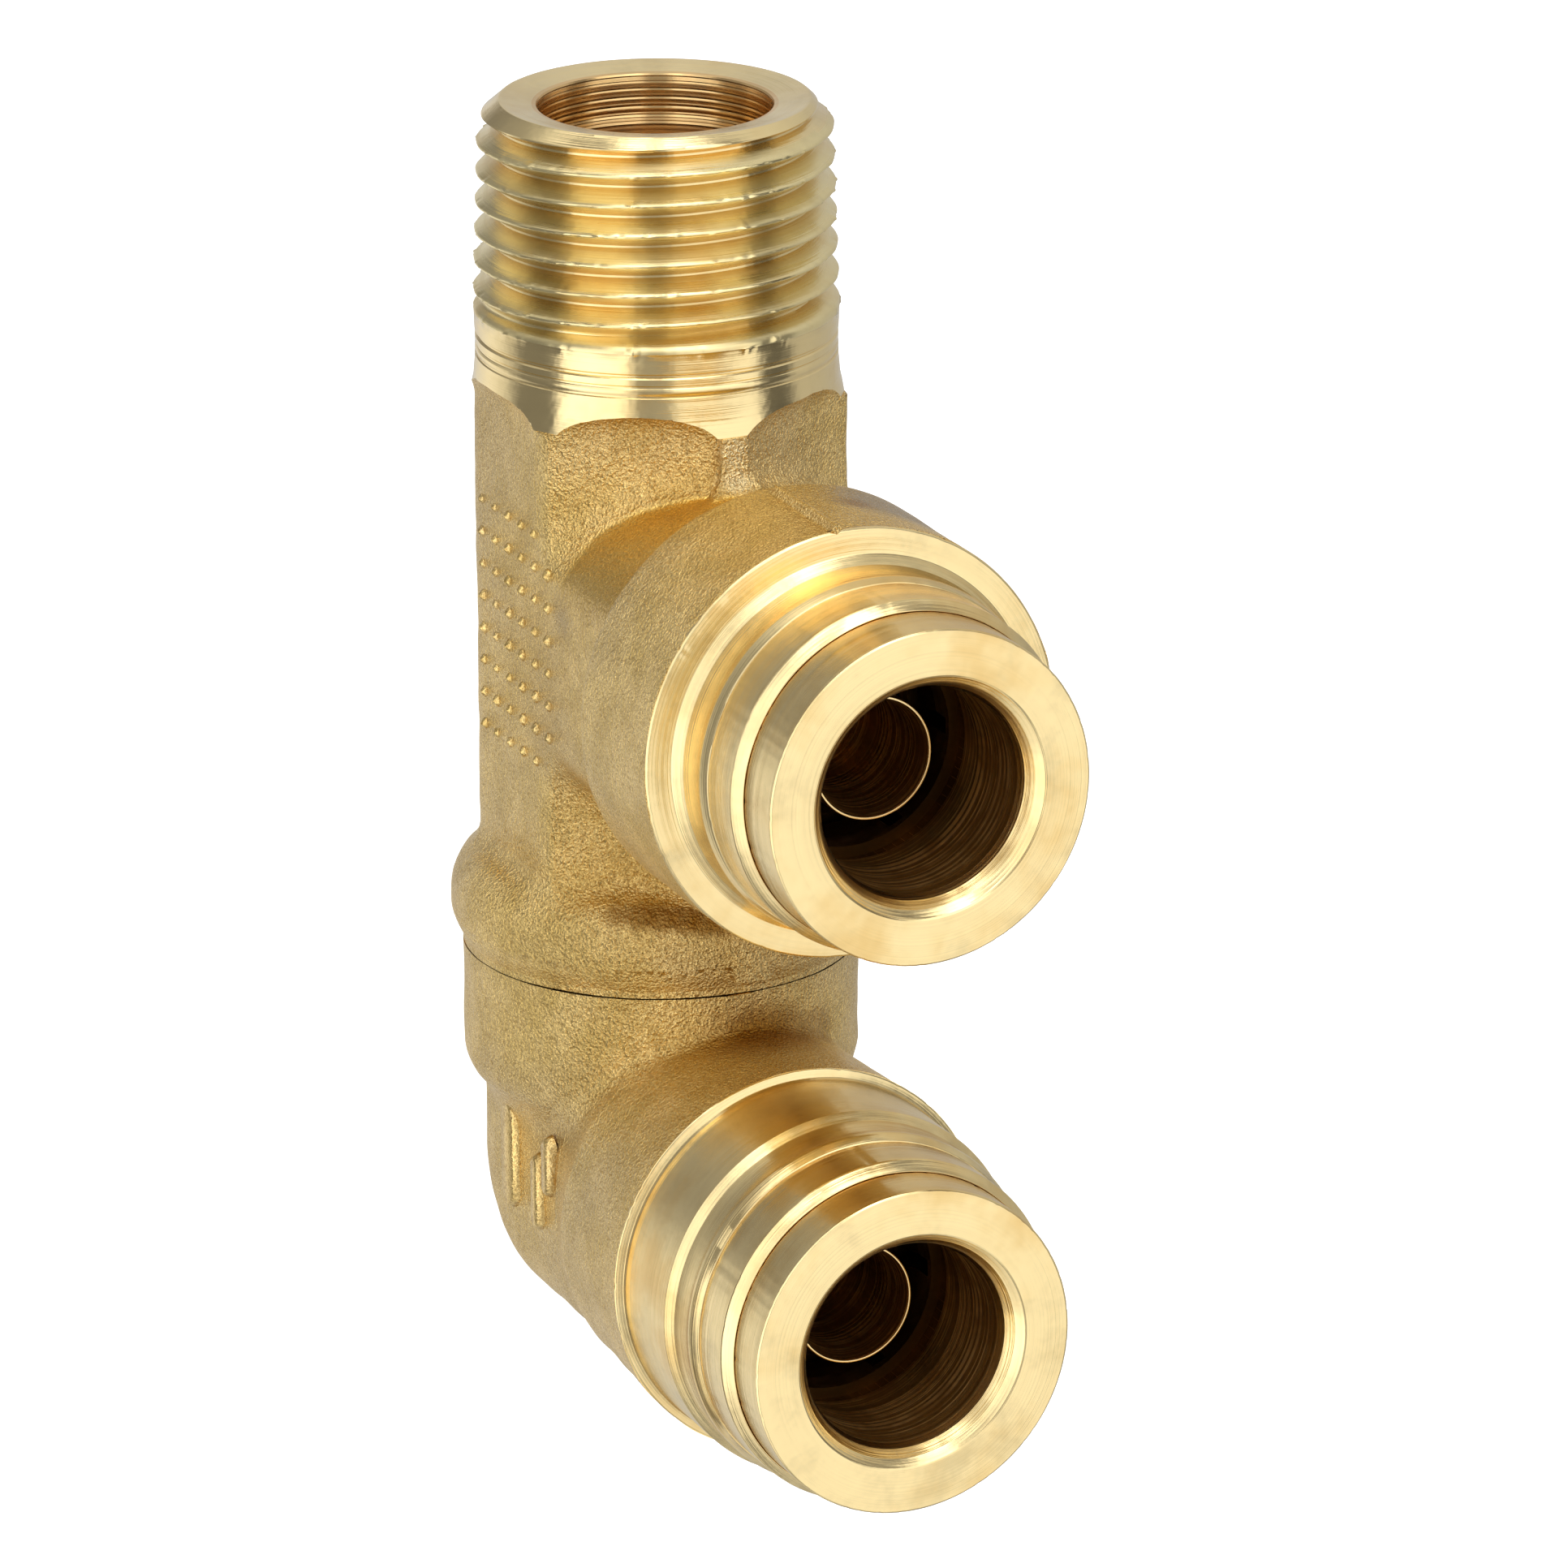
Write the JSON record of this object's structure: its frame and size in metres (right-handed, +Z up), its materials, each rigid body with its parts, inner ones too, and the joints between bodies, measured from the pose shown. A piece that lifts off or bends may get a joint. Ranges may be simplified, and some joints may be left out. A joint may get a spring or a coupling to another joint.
{
  "type": "swivel push-to-connect tube fitting",
  "caption": "Brass push-to-connect tube fitting with a taper pipe thread, a hexagon body, and a swivel elbow below it carrying a second tube port.",
  "frame": {"origin": "centre of the pipe thread's free end face", "axes": "+Z up the pipe thread and out of its free end, -Y out of both tube ports at rest, +X completes the set"},
  "size_m": [0.0204, 0.0403, 0.0617],
  "materials": {
    "forged_brass": "forged and blasted, machined at the thread and the ports",
    "turned_brass": "turned, bright",
    "seal_rubber": "black nitrile, satin",
    "spring_steel": "drawn wire",
    "bearing_plastic": "natural acetal"
  },
  "bodies": {
    "upper": {"upper_body": "forged_brass", "upper_retainer_sleeve": "turned_brass", "upper_tube_support": "turned_brass", "upper_spacer_ring": "turned_brass", "upper_tube_seal": "seal_rubber", "upper_wiper_ring": "seal_rubber", "stem_retaining_ring": "spring_steel", "thrust_washer": "bearing_plastic"},
    "elbow": {"lower_elbow": "forged_brass", "swivel_stem": "turned_brass", "stem_seal_upper": "seal_rubber", "stem_seal_lower": "seal_rubber", "lower_retainer_sleeve": "turned_brass", "lower_tube_support": "turned_brass", "lower_spacer_ring": "turned_brass", "lower_tube_seal": "seal_rubber", "lower_wiper_ring": "seal_rubber"},
    "upper_button": {"upper_release_button": "turned_brass", "upper_collet": "turned_brass"},
    "lower_button": {"lower_release_button": "turned_brass", "lower_collet": "turned_brass"}
  },
  "joints": [
    {"name": "elbow_swivel", "type": "hinge", "parent": "upper", "child": "elbow", "pos_m": [0, 0, -0.04115], "axis": [0, 0, 1], "continuous": true},
    {"name": "upper_button_slide", "type": "slide", "parent": "upper", "child": "upper_button", "axis": [0, 1, 0], "range_m": [0, 0.0012]},
    {"name": "lower_button_slide", "type": "slide", "parent": "elbow", "child": "lower_button", "axis": [0, 1, 0], "range_m": [-0.0004, 0.0008]}
  ]
}
